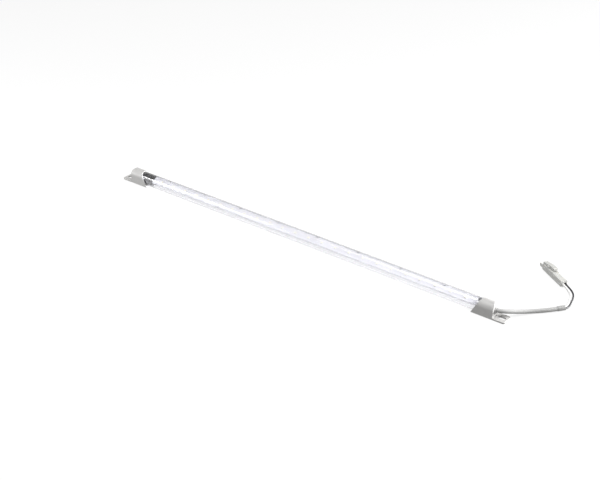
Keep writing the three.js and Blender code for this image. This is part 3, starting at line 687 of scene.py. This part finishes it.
def smooth_line(points, step):
    """A natural cubic spline through the points, on the length of the chords between them, read
    at even steps: each coordinate's second derivatives come from one tridiagonal system."""
    points = np.array(points, float)
    knot = np.concatenate([[0], np.cumsum(np.linalg.norm(np.diff(points, axis=0), axis=1))])
    gap = np.diff(knot)
    count = len(points)
    system, right = np.eye(count), np.zeros((count, 3))
    inner = np.arange(1, count - 1)
    system[inner, inner - 1], system[inner, inner + 1] = gap[:-1], gap[1:]
    system[inner, inner] = 2 * (gap[:-1] + gap[1:])
    slope = np.diff(points, axis=0) / gap[:, None]
    right[1:-1] = 6 * np.diff(slope, axis=0)
    curve = np.linalg.solve(system, right)
    wanted = np.linspace(0, knot[-1], int(knot[-1] / step) + 1)
    which = np.clip(np.searchsorted(knot, wanted, side="right") - 1, 0, count - 2)
    a, b, h = (knot[which + 1] - wanted)[:, None], (wanted - knot[which])[:, None], gap[which][:, None]
    return (curve[which] * a**3 / (6 * h) + curve[which + 1] * b**3 / (6 * h)
            + (points[which] / h - curve[which] * h / 6) * a
            + (points[which + 1] / h - curve[which + 1] * h / 6) * b)


def round_cord(path, radius, sides=24):
    """A round section carried along a path without twist, with a small rounding at both ends.
    radius is a number or one value for each point of the path."""
    path = np.array(path, float)
    tangent = np.gradient(path, axis=0)
    tangent /= np.linalg.norm(tangent, axis=1, keepdims=True)
    across = np.cross([0, 0, 1.0], tangent)
    across /= np.linalg.norm(across, axis=1, keepdims=True)
    upward = np.cross(tangent, across)
    radius = np.broadcast_to(radius, len(path)).astype(float)
    edge = min(radius.min() * 0.25, 0.3)
    angle = np.linspace(0, 2 * math.pi, sides, endpoint=False)[:, None]
    rings = [p + r * (np.cos(angle) * a + np.sin(angle) * u)
             for p, r, a, u in zip(path, radius, across, upward)]
    first = path[0] + (rings[0] - path[0]) * (1 - edge / radius[0]) - tangent[0] * edge * 0.6
    last = path[-1] + (rings[-1] - path[-1]) * (1 - edge / radius[-1]) + tangent[-1] * edge * 0.6
    return shell([first, *rings, last], poles=(
        path[0] - tangent[0] * edge * 0.6, path[-1] + tangent[-1] * edge * 0.6))


pvc = finish("grey_pvc_jacket", (0.39, 0.39, 0.385), 0.5, Sheen_Weight=0.08)
grained(pvc, (0.375, 0.375, 0.37), (0.405, 0.405, 0.40), 1100, 0.16, rough=(0.42, 0.58))
jacket_route = lifted(JACKET_PLAN, JACKET_WIDTH / 2 + 0.05, HOLE_HEIGHT, SLEEVE_LYING)
jacket_path = smooth_line(jacket_route, 0.6) + [EAR_TIP, 0, 0]
jacket = make("lead_jacket_pvc", [round_cord(jacket_path, JACKET_WIDTH / 2, 32)], [pvc],
              stands_for=["lead_jacket"])

# The sleeve is 5.8 mm across: it is shrunk tight, so that its ends turn in over the jacket and its
# surface has slow, shallow waves.
shrunk = finish("grey_shrink_sleeve", (0.33, 0.33, 0.326), 0.4)
grained(shrunk, (0.315, 0.315, 0.311), (0.345, 0.345, 0.341), 900, 0.2, rough=(0.34, 0.48))
SLEEVE_LONG, SLEEVE_PAST, SLEEVE_RADIUS = 9.6, 0.6, 2.9
lead_end = jacket_path[-1]
lead_way = np.array(jacket_route[-1]) - np.array(jacket_route[-3])
lead_way[2] = 0
sleeve_at = np.linspace(SLEEVE_PAST - SLEEVE_LONG, SLEEVE_PAST, 40)
sleeve_wave = SLEEVE_RADIUS - 0.05 + 0.04 * np.sin(sleeve_at * 1.9) * np.cos(sleeve_at * 0.7)
sleeve_turn_in = 0.18 * np.exp(-((sleeve_at - sleeve_at[0]) / 0.5)**2) + 0.2 * np.exp(
    -((sleeve_at - sleeve_at[-1]) / 0.35)**2)
sleeve_profile = list(zip(sleeve_wave - sleeve_turn_in, sleeve_at))
SLEEVE_BORE, BORE_LIP = 2.54, 2.58
sleeve_profile += [
    (BORE_LIP, sleeve_at[-1]), (SLEEVE_BORE, sleeve_at[-1] - 0.2),
    (SLEEVE_BORE, sleeve_at[0] + 0.2), (BORE_LIP, sleeve_at[0])]
sleeve = make("lead_sleeve_shrunk", [turned(sleeve_profile, lead_end, 40, lead_way)], [shrunk],
              stands_for=["lead_sleeve"])

# ---------------------------------------------------------------- plug
# A white nylon wire-to-wire housing for two contacts: a slim rear half where the wires go in, a
# wider front half with two guide arms, and a rocking latch lever pinned between two lugs on top.


def from_cad(node, bevel, body, material):
    """A merged copy of a CAD solid whose flat faces are made whole again and whose edges are
    rounded by a bevel, so that it catches light as a moulded piece does."""
    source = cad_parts[node]
    mesh = source.data.copy()
    mesh.materials.clear()
    mesh.materials.append(material)
    made = bpy.data.objects.new(node + "_moulded", mesh)
    bpy.context.collection.objects.link(made)
    work = bmesh.new()
    work.from_mesh(mesh)
    bmesh.ops.remove_doubles(work, verts=work.verts, dist=1e-6)
    bmesh.ops.dissolve_limit(work, angle_limit=math.radians(1.0), verts=work.verts, edges=work.edges)
    for face in work.faces:
        face.smooth = True
        face.material_index = 0
    work.to_mesh(mesh)
    work.free()
    mesh.set_sharp_from_angle(angle=math.radians(35))
    rounding = made.modifiers.new("rounding", "BEVEL")
    rounding.width = bevel * MM
    rounding.segments = 3
    rounding.limit_method = "ANGLE"
    rounding.angle_limit = math.radians(35)
    rounding.use_clamp_overlap = True
    even = made.modifiers.new("even_shading", "WEIGHTED_NORMAL")
    even.keep_sharp = True
    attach(made, body)
    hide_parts(node)
    return made


housing = from_cad("plug_housing", 0.18, "lamp", nylon)
latch = from_cad("plug_latch", 0.15, "latch", nylon)
plate = finish("tin_plate", (0.70, 0.67, 0.60), 0.25, Metallic=1.0)
grained(plate, (0.62, 0.59, 0.52), (0.76, 0.73, 0.66), 2500, 0.2, rough=(0.18, 0.4))
for name in ("plug_contact_1", "plug_contact_2"):
    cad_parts[name].data.materials.clear()
    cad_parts[name].data.materials.append(plate)

# ---------------------------------------------------------------- wires
# Two stranded wires in satin PVC insulation, 2.1 mm across. They leave the sleeve, drop to the
# floor, swing round side by side and go into the plug's two rear holes.
BLACK_PLAN = [
    (40.7, 58.9, 1, 0), (41.4, 61.6, 0.75, 0), (41.4, 65.2, 0.35, 0), (40.7, 69.6, 0.08, 0),
    (39.6, 74.5, 0, 0), (38.4, 79.6, 0, 0), (37.0, 84.7, 0, 0), (35.0, 89.6, 0, 0),
    (32.4, 93.9, 0, 0.04), (29.2, 97.2, 0, 0.18), (25.8, 99.3, 0, 0.46), (22.4, 100.9, 0, 0.75),
    (19.9, 102.3, 0, 0.93), (17.5, 103.9, 0, 1), (14.15, 106.05, 0, 1)]
WHITE_PLAN = [
    (38.6, 60.5, 1, 0), (38.8, 62.7, 0.75, 0), (38.7, 65.6, 0.35, 0), (37.9, 69.6, 0.08, 0),
    (36.7, 74.0, 0, 0), (35.5, 78.8, 0, 0), (34.1, 83.6, 0, 0), (32.3, 88.0, 0, 0),
    (29.8, 91.7, 0, 0.04), (26.8, 94.4, 0, 0.18), (23.8, 96.4, 0, 0.46), (20.6, 98.1, 0, 0.75),
    (18.1, 99.5, 0, 0.93), (15.7, 101.1, 0, 1), (12.35, 103.25, 0, 1)]
WIRE_WIDTH = 2.1
PLUG_HOLE_HEIGHT = 4.0
black_pvc = finish("black_insulation", (0.013, 0.013, 0.016), 0.45)
grained(black_pvc, (0.010, 0.010, 0.013), (0.020, 0.020, 0.024), 1500, 0.15, rough=(0.4, 0.55))
white_pvc = finish("white_insulation", (0.66, 0.66, 0.65), 0.45)
grained(white_pvc, (0.63, 0.63, 0.62), (0.70, 0.70, 0.69), 1500, 0.15, rough=(0.36, 0.52))
for colour, plan, material in (("black", BLACK_PLAN, black_pvc), ("white", WHITE_PLAN, white_pvc)):
    route = lifted(plan, WIRE_WIDTH / 2 + 0.05, SLEEVE_LYING, PLUG_HOLE_HEIGHT)
    path = smooth_line(route, 0.5) + [EAR_TIP, 0, 0]
    wire = make(f"wire_{colour}_pvc", [round_cord(path, WIRE_WIDTH / 2, 20)], [material],
                stands_for=[f"wire_{colour}"])

# ---------------------------------------------------------------- wires inside the cap
# The same two wires go on from the jacket's inner end over the board's end, where each is soldered
# to its pad under a bright dome of tin.
level = board_high[2] + 0.05 + WIRE_WIDTH / 2 + 0.3
for colour, side, material in (("black", 1, black_pvc), ("white", -1, white_pvc)):
    route = [
        (-20.7, side * 1.15, HOLE_HEIGHT), (-23.0, side * 1.3, HOLE_HEIGHT + 0.5),
        (-25.4, side * 1.8, (HOLE_HEIGHT + level) / 2 + 0.4), (-27.9, side * 2.2, level),
        (-31.5, side * 2.3, level), (-38.2, side * 2.3, level)]
    path = smooth_line(route, 0.5) + [EAR_TIP, 0, 0]
    make(f"board_wire_{colour}_pvc", [round_cord(path, WIRE_WIDTH / 2, 20)], [material],
         stands_for=[f"board_wire_{colour}"])
for name in ("solder_joint_1", "solder_joint_2"):
    low, high = corners(name)
    middle, half = (low + high) / 2, (high - low) / 2
    angle = np.linspace(0, 2 * math.pi, 32, endpoint=False)
    rise = np.linspace(0, math.pi / 2 - 0.12, 9)
    rings = [np.column_stack([
        middle[0] + half[0] * np.cos(t)**0.8 * np.cos(angle),
        middle[1] + half[1] * np.cos(t)**0.8 * np.sin(angle),
        np.full(32, low[2] + (high[2] - low[2]) * np.sin(t)**1.3)]) for t in rise]
    ends = ((middle[0], middle[1], low[2]), (middle[0], middle[1], high[2]))
    make(name + "_dome", [shell(rings, poles=ends)], [tin], stands_for=[name])

# ---------------------------------------------------------------- floor and light
# A wide pale floor of matt paper and a big soft box overhead. Smaller boxes stand low behind the
# lead's end, low at the front left and close above the lead.
floor_mesh = bpy.data.meshes.new("studio_floor")
floor_mesh.from_pydata([(-6, -6, 0), (6, -6, 0), (6, 6, 0), (-6, 6, 0)], [], [(0, 1, 2, 3)])
floor = bpy.data.objects.new("studio_floor", floor_mesh)
floor.location.z = -0.0002
bpy.context.collection.objects.link(floor)
paper = finish("studio_paper", (0.18, 0.18, 0.18), 0.9, Specular_IOR_Level=0.1)
paper.node_tree.nodes["Principled BSDF"].inputs["Emission Color"].default_value = (1, 1, 1, 1)
ray = add(paper, "LightPath")
add(paper, "MapRange", into="Emission Strength", Value=(ray, "Is Diffuse Ray"), To_Min=0.8, To_Max=0.0)
fibres = add(paper, "TexNoise", Vector=(add(paper, "TexCoord"), "Object"), Scale=260.0, Detail=5.0)
add(paper, "Bump", into="Normal", Strength=0.03, Distance=0.0002, Height=(fibres, 0))
floor_mesh.materials.append(paper)

world = bpy.data.worlds.new("studio")
world.use_nodes = True
sky = world.node_tree.nodes["Background"]
sky.inputs["Color"].default_value = (1.0, 1.0, 1.0, 1)
sky_ray = add(world, "LightPath")
sky_strength = add(world, "MapRange", Value=(sky_ray, "Is Diffuse Ray"), To_Min=0.5, To_Max=0.15)
world.node_tree.links.new(sky_strength.outputs[0], sky.inputs["Strength"])
bpy.context.scene.world = world


def soft_box(name, place, aim, size, watts):
    """A rectangular area light that looks from its place at its aim."""
    data = bpy.data.lights.new(name, "AREA")
    data.shape = "RECTANGLE"
    data.size, data.size_y = size
    data.energy = watts
    light = bpy.data.objects.new(name, data)
    bpy.context.collection.objects.link(light)
    light.matrix_world = looking(Vector(place), Vector(aim))


soft_box("overhead", (0.15, -0.3, 1.65), (0.05, 0.0, 0), (2.0, 1.4), 31)
soft_box("lead_side", (1.25, 1.1, 0.2), (0.28, 0, 0), (1.0, 0.3), 60)
soft_box("front_left", (-0.75, -0.62, 0.22), (-0.28, 0, 0), (0.4, 0.3), 4.2)
soft_box("over_lead", (0.55, 0.1, 0.5), (0.35, 0.03, 0), (0.3, 0.3), 0.9)
